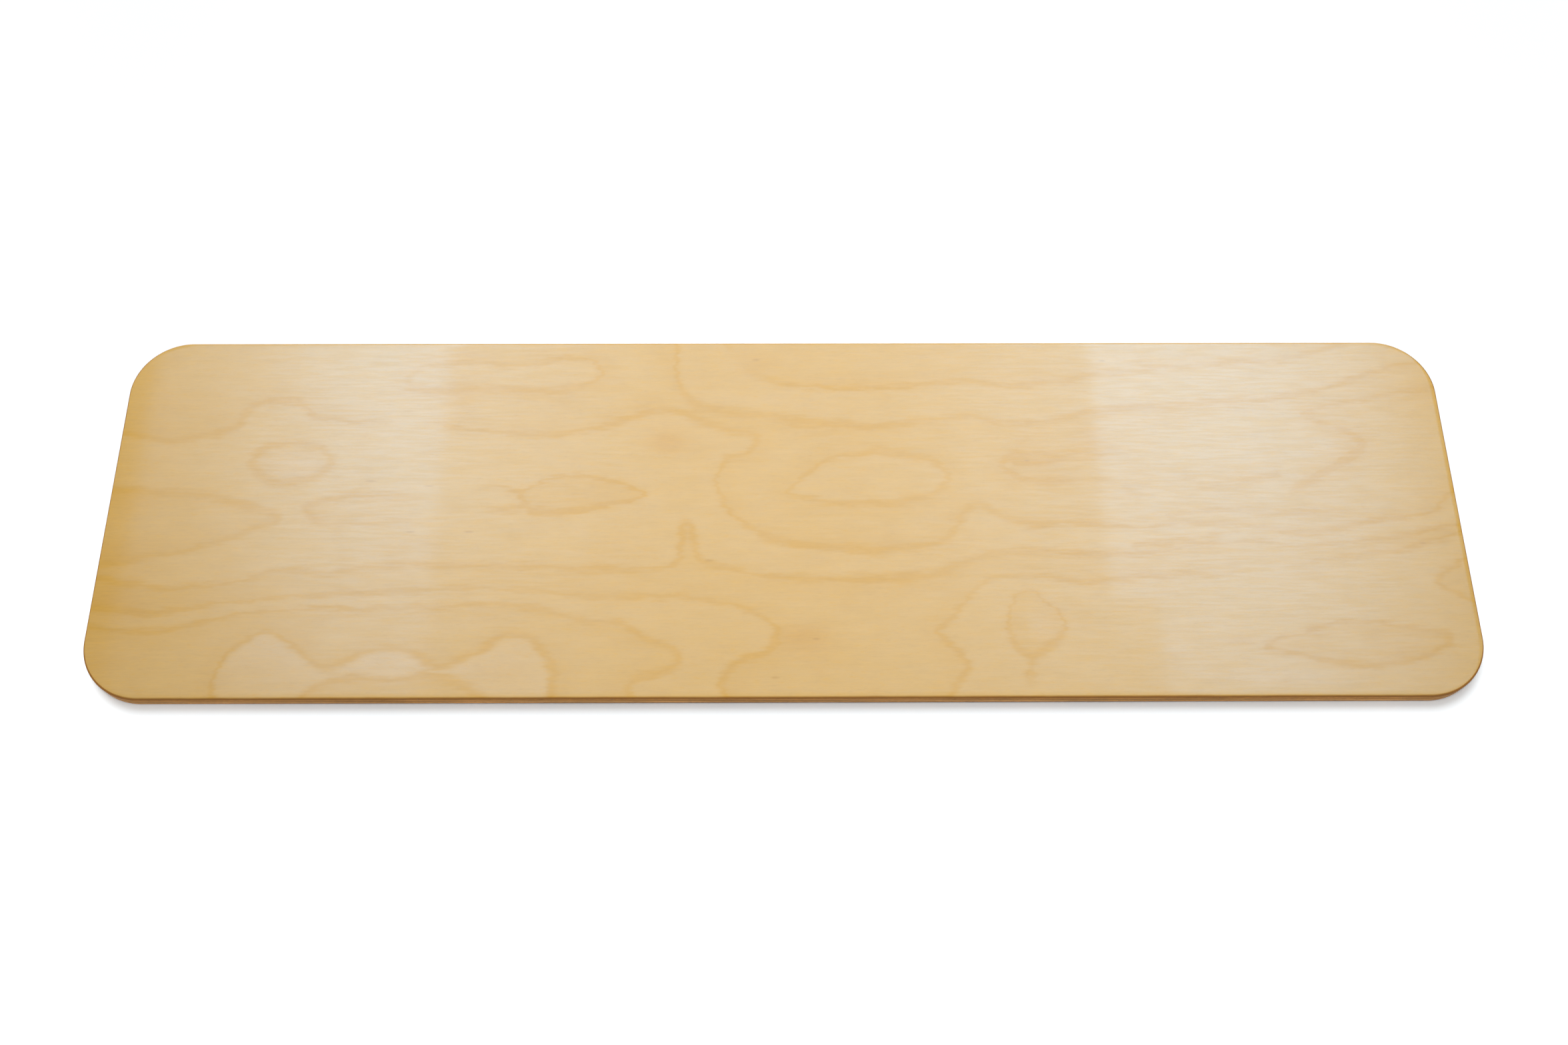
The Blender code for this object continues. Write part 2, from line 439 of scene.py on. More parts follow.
# Light: even white air, a wide soft sun from behind that throws the shadow forward and to the
# right, and a spot over the middle of the board that is aimed behind it
WORLD_STRENGTH = 0.235
SUN_DIRECTION = (0.14, -0.54, -1.0)
SUN_STRENGTH = 2.09
SUN_ANGLE = math.radians(33)
SPOT_PLACE = (0.03, -0.06, 1.80)
SPOT_TARGET = (0.032, 0.297, 0.0)
SPOT_POWER = 67.5
SPOT_ANGLE = math.radians(40.3)
SPOT_BLEND = 0.81
SPOT_RADIUS = 0.20

# The paper glows a little where the spot fades, so that it stays evenly white
FLOOR_RADIUS = 6.0
FLOOR_GLOW = 0.40
FLOOR_GLOW_CENTRE = (0.032, 0.34)
FLOOR_GLOW_REACH = 0.68

# Glowing shapes over the board, which show only in its lacquer: outline, brightness, and fades.
# Along axis 0 (X) or 1 (Y) a fade is 0 at its first place and 1 at its second.
PANEL_HEIGHT = 1.5
PANEL_GAP = 0.01
PANEL_COLOUR = (0.22, 0.60, 1.0)
PANELS = {
    "left_window": (
        ((-1.1, -0.4), (-0.46, -0.4), (-0.46, 1.5), (-1.1, 1.5)),
        2.8,
        ((0, -1.04, -1.01), (0, -0.53, -0.555), (1, 0.0, 1.0)),
    ),
    "left_glow": (
        ((-1.2, -0.4), (0.0, -0.4), (0.0, 1.5), (-1.2, 1.5)),
        3.0,
        ((0, -1.02, -0.62), (0, -0.12, -0.58), (1, 0.0, 1.0)),
    ),
    "right_window": (
        ((0.60, -0.4), (1.2, -0.4), (1.2, 1.5), (0.525, 1.5), (0.525, 0.50), (0.60, 0.50)),
        3.1,
        ((0, 1.14, 0.72), (1, -0.35, 1.0)),
    ),
    "right_glow": (
        ((0.0, -0.4), (1.4, -0.4), (1.4, 1.5), (0.0, 1.5)),
        3.2,
        ((0, 0.06, 0.62), (0, 1.28, 0.75), (1, -0.35, 1.0)),
    ),
    "ceiling_glow": (
        ((-1.3, -0.4), (1.4, -0.4), (1.4, 1.5), (-1.3, 1.5)),
        3.5,
        ((0, -1.04, -0.60), (0, 1.30, 0.95), (1, -0.3, 0.9)),
    ),
}


# ---- the outline and the loops along it


def grid_lines(half_size):
    """Places of the grid's lines along one side: fine in the two corners, even between them."""
    straight_half = half_size - CORNER_RADIUS
    flat_radius = CORNER_RADIUS - EDGE_ROUNDOVER
    straight_cells = round(2 * straight_half / STRAIGHT_STEP)
    straight = np.linspace(-straight_half, straight_half, straight_cells + 1)
    corner = straight_half + flat_radius * np.arange(1, CORNER_CELLS + 1) / CORNER_CELLS
    return np.concatenate((-corner[::-1], straight, corner))


def flat_grid():
    """The flat of a face as a grid of X and Y places, with its corners pressed into arcs."""
    lines_x = grid_lines(HALF_LENGTH)
    lines_y = grid_lines(HALF_WIDTH)
    x, y = np.meshgrid(lines_x, lines_y, indexing="ij")
    flat_radius = CORNER_RADIUS - EDGE_ROUNDOVER
    across_x = np.clip((np.abs(x) - (HALF_LENGTH - CORNER_RADIUS)) / flat_radius, 0, 1)
    across_y = np.clip((np.abs(y) - (HALF_WIDTH - CORNER_RADIUS)) / flat_radius, 0, 1)
    round_x = across_x * np.sqrt(1 - across_y**2 / 2)
    round_y = across_y * np.sqrt(1 - across_x**2 / 2)
    x = x - np.sign(x) * (across_x - round_x) * flat_radius
    y = y - np.sign(y) * (across_y - round_y) * flat_radius
    return x, y


def border_indices(columns, rows):
    """Indices of a grid's border points, counter-clockwise from its first point."""
    index = np.arange(columns * rows).reshape(columns, rows)
    return np.concatenate((index[:-1, 0], index[-1, :-1], index[:0:-1, -1], index[0, :0:-1]))


GRID_X, GRID_Y = flat_grid()
BORDER = border_indices(*GRID_X.shape)


def outline_frame():
    """The arc centres behind the outline's points, the outward directions, and the way along it."""
    border = np.column_stack((GRID_X.ravel()[BORDER], GRID_Y.ravel()[BORDER]))
    core_half = np.array((HALF_LENGTH - CORNER_RADIUS, HALF_WIDTH - CORNER_RADIUS))
    core = np.clip(border, -core_half, core_half)
    outward = border - core
    outward /= np.linalg.norm(outward, axis=1)[:, None]
    outline = core + outward * CORNER_RADIUS
    steps = np.linalg.norm(np.roll(outline, -1, axis=0) - outline, axis=1)
    way = np.concatenate(((0,), np.cumsum(steps)))
    return core, outward, way[:-1] / way[-1]


CORE, OUTWARD, WAY = outline_frame()


def loop_at(inset, height):
    """The outline's points, drawn in by inset, at that height; both may vary along the outline."""
    points = np.empty((len(CORE), 3))
    points[:, :2] = CORE + OUTWARD * (CORNER_RADIUS - np.broadcast_to(inset, len(CORE)))[:, None]
    points[:, 2] = height
    return points


def rim_inset(height):
    """How far the rim lies in from the outline at that height, on the two quarter rounds."""
    over = np.maximum(height - (THICKNESS - EDGE_ROUNDOVER), EDGE_ROUNDOVER - height)
    over = np.clip(over, 0, EDGE_ROUNDOVER)
    return EDGE_ROUNDOVER - np.sqrt(EDGE_ROUNDOVER**2 - over**2)


def layer_wave(number):
    """How far the glue line under layer number lies off its plane, all the way round the board."""
    wave = np.zeros(len(WAY))
    for share, turns in LAYER_WAVE_PARTS:
        wave += share * np.sin(math.tau * (turns * WAY + LAYER_WAVE_SHIFT * turns * (number + 1)))
    return LAYER_WAVE * wave


# ---- meshes


def add_to_scene(thing):
    """Shows an object in the scene."""
    bpy.context.scene.collection.objects.link(thing)


def finished_object(name, mesh, material):
    """A new object with this mesh and material, smooth but for its sharp edges."""
    mesh.shade_smooth()
    mesh.set_sharp_from_angle(angle=SHARP_ANGLE)
    mesh.materials.append(material)
    piece = bpy.data.objects.new(name, mesh)
    add_to_scene(piece)
    return piece


def place_piece(piece, slot_name, *nodes):
    """The piece rides on the board and stands for those CAD nodes, which are hidden; slot_name is not used.
    """
    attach(piece, "root")
    if nodes:
        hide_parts(*nodes)


def band_faces(upper, lower):
    """Quads that join two closed loops of vertex numbers, the lower one under the upper one."""
    return [
        (int(a), int(b), int(c), int(d))
        for a, b, c, d in zip(upper, lower, np.roll(lower, -1), np.roll(upper, -1))
    ]


def ply_mesh(name, low, high, low_wave, high_wave, recess=0.0):
    """A whole ply, flat but for the waves of its rim, which a recess draws in."""
    low_rim = low + low_wave
    high_rim = high + high_wave
    loops = [loop_at(CAP_INSET, high)]
    for share in np.linspace(0, 1, SIDE_ROWS + 1):
        height = high_rim + (low_rim - high_rim) * share
        loops.append(loop_at(rim_inset(height) + recess, height))
    loops.append(loop_at(CAP_INSET, low))

    count = len(CORE)
    numbers = [np.arange(count) + count * row for row in range(len(loops))]
    faces = [tuple(numbers[0].tolist())]
    for upper, lower in zip(numbers, numbers[1:]):
        faces += band_faces(upper, lower)
    faces.append(tuple(numbers[-1][::-1].tolist()))
    mesh = bpy.data.meshes.new(name)
    mesh.from_pydata(np.vstack(loops), [], faces)
    return mesh


def cut_mesh(mesh, name, cuts):
    """A copy of the mesh without what lies beyond each cut: a place along X, a lean and a side."""
    work = bmesh.new()
    work.from_mesh(mesh)
    middle = sum(vertex.co.z for vertex in work.verts) / len(work.verts)
    for along, lean, side in cuts:
        result = bmesh.ops.bisect_plane(
            work,
            geom=work.verts[:] + work.edges[:] + work.faces[:],
            plane_co=(along, 0, middle),
            plane_no=(side * math.cos(lean), 0, side * math.sin(lean)),
            clear_outer=True,
        )
        rim = [item for item in result["geom_cut"] if isinstance(item, bmesh.types.BMEdge)]
        bmesh.ops.edgeloop_fill(work, edges=rim)
    bmesh.ops.recalc_face_normals(work, faces=work.faces[:])
    cut = bpy.data.meshes.new(name)
    work.to_mesh(cut)
    work.free()
    return cut


# ---- growth rings


def smooth_curve(points, closed):
    """A centripetal Catmull-Rom curve through points in millimetres: starts and ends of its steps."""
    here = np.array(points, float) * MM
    before = np.roll(here, 1, axis=0)
    after = np.roll(here, -1, axis=0)
    if not closed:
        before[0] = 2 * here[0] - here[1]
        after[-1] = 2 * here[-1] - here[-2]
    gap_before = np.sqrt(np.linalg.norm(here - before, axis=1))[:, None]
    gap_after = np.sqrt(np.linalg.norm(after - here, axis=1))[:, None]
    slope = (here - before) / gap_before + (after - here) / gap_after
    slope -= (after - before) / (gap_before + gap_after)
    leave = slope * gap_after
    arrive = np.roll(slope, -1, axis=0) * gap_after

    spans = list(zip(here, after, leave, arrive))
    if not closed:
        spans.pop()
    pieces = []
    for start, end, out, into in spans:
        steps = max(2, math.ceil(np.linalg.norm(end - start) / RING_SAMPLE))
        t = (np.arange(steps) / steps)[:, None]
        pieces.append(
            start * (2 * t**3 - 3 * t**2 + 1)
            + out * (t**3 - 2 * t**2 + t)
            + end * (3 * t**2 - 2 * t**3)
            + into * (t**3 - t**2)
        )
    starts = np.vstack(pieces)
    last = starts[:1] if closed else here[-1:]
    return starts, np.vstack((starts[1:], last))


def segment_distance(points, start, end):
    """The distance of each point from its own segment."""
    along = end - start
    share = np.sum((points - start) * along, axis=1) / np.sum(along * along, axis=1)
    nearest = start + along * np.clip(share, 0, 1)[:, None]
    return np.linalg.norm(points - nearest, axis=1)


def distance_from(points, starts, ends):
    """The distance of each point from the nearest of the short steps."""
    tree = KDTree(len(starts))
    for number, (x, y) in enumerate(starts):
        tree.insert((x, y, 0), number)
    tree.balance()
    nearest = np.array([tree.find((x, y, 0))[1] for x, y in points])
    previous = np.maximum(nearest - 1, 0)
    return np.minimum(
        segment_distance(points, starts[previous], ends[previous]),
        segment_distance(points, starts[nearest], ends[nearest]),
    )


def is_inside(points, starts, ends):
    """Whether each point lies inside an odd number of the closed curves made of these steps."""
    order = np.argsort(points[:, 1], kind="stable")
    sorted_x = points[order, 0]
    sorted_y = points[order, 1]
    first = np.searchsorted(sorted_y, np.minimum(starts[:, 1], ends[:, 1]))
    last = np.searchsorted(sorted_y, np.maximum(starts[:, 1], ends[:, 1]))
    crossings = np.zeros(len(points), int)
    for (x0, y0), (x1, y1), low, high in zip(starts, ends, first, last):
        if high > low:
            crossing_x = x0 + (sorted_y[low:high] - y0) * (x1 - x0) / (y1 - y0)
            crossings[low:high] += sorted_x[low:high] < crossing_x
    inside = np.empty(len(points), bool)
    inside[order] = crossings % 2 == 1
    return inside


def ring_distance(points, rings, lines=()):
    """The distance of each point from the nearest ring or line, negative inside an odd number of rings."""
    closed = [smooth_curve(ring, True) for ring in rings]
    starts, ends = (np.vstack(steps) for steps in zip(*closed))
    inside = is_inside(points, starts, ends)
    curves = closed + [smooth_curve(line, False) for line in lines]
    starts, ends = (np.vstack(steps) for steps in zip(*curves))
    distance = distance_from(points, starts, ends)
    return np.where(inside, -distance, distance)


def spot(points, x, y, reach_x, reach_y):
    """1 at a spot, given in millimetres, falling off to 0 around it."""
    far = ((points[:, 0] / MM - x) / reach_x) ** 2 + ((points[:, 1] / MM - y) / reach_y) ** 2
    return np.exp(-far)


def lens_pull(x, y):
    """How far along and across, in metres, the figure lies from the place where the lens shows it."""
    x = x / LENS_UNIT
    y = y / LENS_UNIT
    along = LENS_PULL_ALONG[0] * x + LENS_PULL_ALONG[1] * x**3 + LENS_PULL_ALONG[2] * x * y
    across = LENS_PULL_ACROSS[0] + LENS_PULL_ACROSS[1] * y + LENS_PULL_ACROSS[2] * x**2 * y
    return along * MM, across * MM


def flecks_through_lens(flecks):
    """The flecks at the places where the lens shows them."""
    moved = []
    for x, y, reach_x, reach_y in flecks:
        along, across = lens_pull(x * MM, y * MM)
        moved.append((x - along / MM, y - across / MM, reach_x, reach_y))
    return moved


def add_figure(mesh, points, rings, lines, zones, accents, clouds):
    """Stores a veneer's figure on its mesh: distance from the rings, their strength, and clouds."""
    strength = np.ones(len(points))
    for x, y, reach_x, reach_y, amount in accents:
        strength *= 1 + amount * spot(points, x, y, reach_x, reach_y)
    cloud = np.zeros(len(points))
    for x, y, reach_x, reach_y, amount in clouds:
        cloud += amount * spot(points, x, y, reach_x, reach_y)
    for name, amount in zones.items():
        depth = -ring_distance(points, [rings[name]])
        cloud += amount * np.clip(depth / ZONE_BORDER, 0, 1)
    add_values(mesh, "ring_distance", ring_distance(points, rings.values(), lines))
    add_values(mesh, "ring_strength", strength)
    add_values(mesh, "cloud", cloud)


def corner_share():
    """1 in the middle of each corner's arc and 0 on the straight sides, all round the outline."""
    return np.sqrt(2 * np.minimum(np.abs(OUTWARD[:, 0]), np.abs(OUTWARD[:, 1])) ** 2)


def add_values(mesh, name, values):
    """Stores one number for each vertex, for the material to read."""
    attribute = mesh.attributes.new(name, "FLOAT", "POINT")
    attribute.data.foreach_set("value", values.astype(np.float32))


# ---- the veneers


def face_relief(x, y):
    """How far the sanded face lies under its plane; it comes to nothing at the border."""
    share, length, bend = LONG_WAVE
    wave = share * np.sin(math.tau * (x / length + 0.25 * np.sin(math.tau * y / bend)))
    share, length, drift = CROSS_WAVE
    wave += share * np.sin(math.tau * (y / length + x / drift) + 1.3)
    share, length, drift = SLANTING_WAVE
    wave += share * np.sin(math.tau * (x / length - y / drift) + 0.4)
    depth_x = HALF_LENGTH - EDGE_ROUNDOVER - np.abs(x)
    depth_y = HALF_WIDTH - EDGE_ROUNDOVER - np.abs(y)
    fade = np.clip(np.minimum(depth_x, depth_y) / CORNER_RADIUS, 0, 1)
    return FACE_RELIEF * (0.5 + 0.5 * wave) * fade


def outer_veneer(name, side, inner_height, inner_wave, material):
    """The face veneer (side 1) or back veneer (side -1), and the places of its vertices."""
    columns, rows = GRID_X.shape
    surface = THICKNESS if side > 0 else 0.0
    grid = np.column_stack((GRID_X.ravel(), GRID_Y.ravel(), np.zeros(GRID_X.size)))
    grid[:, 2] = surface - side * face_relief(grid[:, 0], grid[:, 1])

    rim_bottom = inner_height + inner_wave
    drop = np.minimum(np.abs(surface - rim_bottom), EDGE_ROUNDOVER)
    reach = np.arccos(1 - drop / EDGE_ROUNDOVER)
    loops = []
    rim_share = [np.zeros(GRID_X.size)]
    # Rim darkening: partly wear, partly painted shade; the back edge is painted lighter, as light falls on
    # it
    more_wear = CORNER_WEAR * corner_share()
    wear_and_shade = 1 - BACK_RIM_PAINTED_LIGHT * np.clip(OUTWARD[:, 1], 0, 1)
    for row in range(1, ROUNDOVER_ROWS):
        angle = reach * row / ROUNDOVER_ROWS
        height = surface - side * EDGE_ROUNDOVER * (1 - np.cos(angle))
        loops.append(loop_at(EDGE_ROUNDOVER * (1 - np.sin(angle)), height))
        rim_share.append((row / ROUNDOVER_ROWS + more_wear) * wear_and_shade)
    loops.append(loop_at(rim_inset(rim_bottom), rim_bottom))
    loops.append(loop_at(CAP_INSET, inner_height))
    rim_share += [np.ones(len(CORE))] * 2

    vertices = np.vstack([grid] + loops)
    index = np.arange(GRID_X.size).reshape(columns, rows)
    corners = (index[:-1, :-1], index[1:, :-1], index[1:, 1:], index[:-1, 1:])
    faces = np.column_stack([corner.ravel() for corner in corners]).tolist()
    upper = BORDER
    for number in range(len(loops)):
        lower = GRID_X.size + number * len(CORE) + np.arange(len(CORE))
        faces += band_faces(upper, lower)
        upper = lower
    faces.append(upper[::-1].tolist())
    if side < 0:
        faces = [face[::-1] for face in faces]
    mesh = bpy.data.meshes.new(name)
    mesh.from_pydata(vertices, [], faces)
    piece = finished_object(name, mesh, material)
    add_values(piece.data, "rim_share", np.concatenate(rim_share))
    return piece, vertices[:, :2]


def nodes_of(layer):
    """The names of the CAD nodes of one layer, in order."""
    return sorted(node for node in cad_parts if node.startswith(layer))


def layer_heights():
    """The lowest and highest plane of each layer, from the top layer down."""
    boxes = [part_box(nodes_of(layer)[0]) for layer in LAYERS]
    return [(low.z, high.z) for low, high in boxes]


def joint_places(layer):
    """Where the sheets of a layer meet, along X."""
    sheets = nodes_of(layer)
    return [(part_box(left)[1].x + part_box(right)[0].x) / 2 for left, right in zip(sheets, sheets[1:])]


# ---- materials


class Look:
    """The node tree of one material, with short calls for the nodes that the woods are made of."""

    def __init__(self, name):
        self.material = bpy.data.materials.new(name)
        self.material.use_nodes = True
        self.tree = self.material.node_tree
        self.shader = self.tree.nodes["Principled BSDF"]
        self.place = self.tree.nodes.new("ShaderNodeTexCoord").outputs["Object"]

    def node(self, kind, inputs, **settings):
        """A new node; inputs maps a socket's name or number to a value or another node's output."""
        made = self.tree.nodes.new(kind)
        for setting, value in settings.items():
            setattr(made, setting, value)
        for socket, value in inputs.items():
            self.feed(made.inputs[socket], value)
        return made

    def feed(self, socket, value):
        """Gives a socket a value, or links another node's output to it."""
        if isinstance(value, bpy.types.NodeSocket):
            self.tree.links.new(value, socket)
        else:
            socket.default_value = value

    def math(self, operation, *values):
        """A sum, product or the like of numbers and outputs of nodes."""
        return self.node("ShaderNodeMath", dict(enumerate(values)), operation=operation).outputs[0]

    def scaled(self, value, amount, plus=0.0):
        """The value times an amount, plus another."""
        return self.math("MULTIPLY_ADD", value, amount, plus)

    def stretched(self, scale, shift):
        """The place on the board, multiplied along each axis and then shifted."""
        inputs = {0: self.place, 1: scale, 2: shift}
        return self.node("ShaderNodeVectorMath", inputs, operation="MULTIPLY_ADD").outputs[0]

    def noise(self, scale, detail, shift):
        """Noise from 0 to 1, at so many waves a metre along each axis."""
        inputs = {"Vector": self.stretched(scale, (shift, shift, shift)), "Scale": 1.0, "Detail": detail}
        return self.node("ShaderNodeTexNoise", inputs).outputs["Fac"]

    def grain(self, name):
        """The noise of that name."""
        return self.noise(*GRAIN[name])

    def attribute(self, name):
        """A number stored on the mesh."""
        return self.node("ShaderNodeAttribute", {}, attribute_name=name).outputs["Fac"]

    def between(self, value, low, high, out_low=0.0, out_high=1.0):
        """The value, carried smoothly from low and high to two other values."""
        inputs = {"Value": value, 1: low, 2: high, 3: out_low, 4: out_high}
        made = self.node("ShaderNodeMapRange", inputs, interpolation_type="SMOOTHSTEP")
        return made.outputs["Result"]

    def mix(self, amount, first, second):
        """Two colours, mixed: the first at 0, the second at 1."""
        inputs = {0: amount, 6: rgba(first), 7: rgba(second)}
        return self.node("ShaderNodeMix", inputs, data_type="RGBA").outputs[2]

    def brightened(self, colour, amount):
        """The colour times an amount."""
        inputs = {0: colour, "Scale": amount}
        return self.node("ShaderNodeVectorMath", inputs, operation="SCALE").outputs[0]

    def bump(self, height, distance, below=None):
        """A bumped normal; height is from 0 to 1, and distance is how high 1 stands."""
        inputs = {"Height": height, "Distance": distance, "Strength": 1.0}
        if below is not None:
            inputs["Normal"] = below
        return self.node("ShaderNodeBump", inputs).outputs["Normal"]

    def set(self, socket, value):
        """Sets one of the shader's own sockets, or links an output to it."""
        self.feed(self.shader.inputs[socket], value)


def rgba(colour):
    """A colour of three numbers with its alpha; an output stays as it is."""
    return colour if isinstance(colour, bpy.types.NodeSocket) else (*colour, 1.0)


def ragged_ring_distance(look):
    """The distance from the nearest growth ring, ragged along the fibres; negative inside a ring."""
    offset = look.scaled(look.grain("feather"), FEATHER_SWING, -FEATHER_SWING / 2)
    offset = look.scaled(look.grain("waver"), WAVER_SWING, offset)
    offset = look.math("SUBTRACT", offset, WAVER_SWING / 2)
    return look.math("ADD", look.attribute("ring_distance"), offset)


def early_wood(look, ring):
    """1 just inside a growth ring, fading to 0 further in, and 0 outside it."""
    rise = look.between(ring, *EARLY_WOOD_RISE)
    fall = look.between(ring, EARLY_WOOD_END, EARLY_WOOD_RISE[1])
    return look.scaled(rise, fall)


def late_wood_line(look, ring):
    """1 on a growth ring and 0 away from it."""
    distance = look.math("ABSOLUTE", ring)
    reach = look.between(look.grain("ring_width"), 0.25, 0.75, *LINE_REACH)
    core = look.between(look.math("DIVIDE", distance, reach), 0.0, 1.0, 1.0, 0.0)
    outward = look.between(ring, 0.0, HALO_OUTWARD, HALO_STRENGTH, 0.0)
    inward = look.between(ring, 0.0, -HALO_INWARD, 1.0, 0.0)
    halo = look.scaled(outward, inward)
    line = look.math("ADD", look.scaled(core, LINE_STRENGTH), halo)
    patchy = look.between(look.grain("ring_patches"), 0.25, 0.7, *LINE_PATCHES)
    line = look.scaled(line, patchy)
    return look.scaled(line, look.attribute("ring_strength"))


def pin_flecks(look, flecks):
    """1 in each small dark fleck and 0 elsewhere."""
    total = None
    for x, y, reach_x, reach_y in flecks:
        scale = (1 / (reach_x * MM), 1 / (reach_y * MM), 0.0)
        shift = (-x / reach_x, -y / reach_y, 0.0)
        inputs = {0: look.stretched(scale, shift)}
        far = look.node("ShaderNodeVectorMath", inputs, operation="LENGTH").outputs["Value"]
        fleck = look.between(far, 0.2, 1.2, 1.0, 0.0)
        total = fleck if total is None else look.math("MAXIMUM", total, fleck)
    return total


def outer_veneer_material(name, flecks):
    """Rotary-cut birch under satin lacquer, with the figure that its mesh carries."""
    look = Look(name)
    cloud = look.scaled(look.grain("clouds"), CLOUD_CONTRAST, -CLOUD_CONTRAST / 2)
    cloud = look.math("ADD", cloud, look.attribute("cloud"))
    pale = look.between(cloud, CLOUD_SPAN[0], CLOUD_SPAN[1])
    dark = look.between(cloud, -CLOUD_SPAN[0], -CLOUD_SPAN[1])
    ring = ragged_ring_distance(look)
    early = look.scaled(early_wood(look, ring), EARLY_WOOD_PALENESS)
    pale = look.math("MAXIMUM", pale, early)
    colour = look.mix(pale, PLAIN_WOOD, PALE_WOOD)
    colour = look.mix(dark, colour, DARK_WOOD)
    colour = look.mix(late_wood_line(look, ring), colour, LATE_WOOD)

    streaks = look.grain("streaks")
    dashes = look.grain("dashes")
    fibres = look.grain("fibres")
    golden = look.between(dashes, 0.50, 0.80)
    colour = look.mix(look.scaled(golden, DASH_GOLD), colour, LATE_WOOD)
    tone = look.scaled(streaks, STREAK_TONE, BASE_TONE)
    tone = look.scaled(look.grain("mottle"), MOTTLE_TONE, tone)
    tone = look.scaled(dashes, DASH_TONE, tone)
    tone = look.scaled(fibres, FIBRE_TONE, tone)
    colour = look.brightened(colour, tone)
    pores = look.between(look.grain("pores"), 0.66, 0.80)
    colour = look.mix(look.scaled(pores, PORE_DARKNESS), colour, FLECK_WOOD)
    dots = look.scaled(pin_flecks(look, flecks), FLECK_DARKNESS)
    colour = look.mix(dots, colour, FLECK_WOOD)

    # The rims darken: partly real wear, partly painted shade, painted lighter at the back edge where light
    # falls
    rim = look.attribute("rim_share")
    wear_and_shade = look.between(look.scaled(look.grain("wear_and_shade"), WEAR_AND_SHADE_NOISE, rim), *WEAR_AND_SHADE_SPAN)
    colour = look.mix(wear_and_shade, colour, WORN_AND_SHADED_RIM)

    look.set("Base Color", colour)
    look.set("Roughness", look.between(look.grain("gloss"), 0.2, 0.8, *FACE_ROUGHNESS))
    look.set("Specular IOR Level", FACE_SPECULAR)
    sheen = look.between(look.grain("sheen"), 0.35, 0.65, *COAT_WEIGHT)
    kept = look.scaled(wear_and_shade, -COAT_WEAR, 1.0)
    look.set("Coat Weight", look.scaled(kept, sheen))
    look.set("Coat Roughness", COAT_ROUGHNESS)
    look.set("Coat IOR", COAT_IOR)
    grain = look.bump(fibres, FIBRE_RELIEF)
    grain = look.bump(streaks, STREAK_RELIEF, grain)
    lacquer = look.bump(look.grain("lacquer"), LACQUER_RELIEF)
    lacquer = look.bump(streaks, LACQUER_RELIEF, lacquer)
    look.set("Normal", grain)
    look.set("Coat Normal", lacquer)
    return look.material


def inner_veneer_material(name, colours, fibre):
    """The sanded and lacquered edge of an inner veneer whose fibres run along X (0) or Y (1)."""
    long_grain, end_grain = colours
    look = Look(name)
    direction = look.node("ShaderNodeNewGeometry", {}).outputs["Normal"]
    along = look.node("ShaderNodeSeparateXYZ", {0: direction}).outputs[fibre]
    end = look.between(look.math("ABSOLUTE", along), 0.45, 0.75)
    colour = look.mix(end, long_grain, end_grain)

    def fibrous(lengthwise, crosswise, detail, shift):
        """Noise that is stretched along the fibres."""
        scale = [crosswise, crosswise, crosswise]
        scale[fibre] = lengthwise
        return look.noise(tuple(scale), detail, shift)

    bands = fibrous(*EDGE_BANDS)
    fibres = fibrous(*EDGE_FIBRES)
    patches = look.grain("edge_patches")
    tone = look.scaled(bands, *EDGE_BAND_TONE)
    tone = look.scaled(tone, look.scaled(patches, *EDGE_PATCH_TONE))
    tone = look.scaled(tone, look.scaled(fibres, *EDGE_FIBRE_TONE))
    colour = look.brightened(colour, tone)
    pores = look.between(fibrous(*EDGE_PORES), 0.62, 0.75)
    colour = look.mix(look.scaled(pores, EDGE_PORE_DARKNESS), colour, RESIN)
    look.set("Base Color", colour)
    look.set("Roughness", look.between(fibres, 0.2, 0.8, *EDGE_ROUGHNESS))
    look.set("Specular IOR Level", EDGE_SPECULAR)
    banded = look.bump(bands, EDGE_BAND_RELIEF)
    look.set("Normal", look.bump(fibres, EDGE_FIBRE_RELIEF, banded))
    return look.material


def resin_material():
    """Dark hardened resin, a little uneven."""
    look = Look("dark_resin")
    lumps = look.grain("resin_lumps")
    colour = look.mix(look.between(lumps, 0.3, 0.7), RESIN, PALE_RESIN)
    look.set("Base Color", colour)
    look.set("Roughness", look.between(lumps, 0.2, 0.8, *RESIN_ROUGHNESS))
    look.set("Normal", look.bump(lumps, RESIN_RELIEF))
    return look.material


def floor_material():
    """Bright white studio paper."""
    look = Look("studio_paper")
    tooth = look.grain("paper_tooth")
    look.set("Base Color", look.mix(tooth, *PAPER_COLOURS))
    look.set("Roughness", PAPER_ROUGHNESS)
    look.set("Specular IOR Level", 0.0)
    shift = [-place / FLOOR_GLOW_REACH for place in FLOOR_GLOW_CENTRE]
    place = look.stretched((1 / FLOOR_GLOW_REACH, 1 / FLOOR_GLOW_REACH, 0.0), (*shift, 0.0))
    far = look.node("ShaderNodeVectorMath", {0: place, 1: place}, operation="DOT_PRODUCT")
    glow = look.between(far.outputs["Value"], 1 - SPOT_BLEND, 1.0, 0.0, FLOOR_GLOW)
    look.set("Emission Color", (1.0, 1.0, 1.0, 1.0))
    look.set("Emission Strength", glow)
    return look.material


# ---- the board


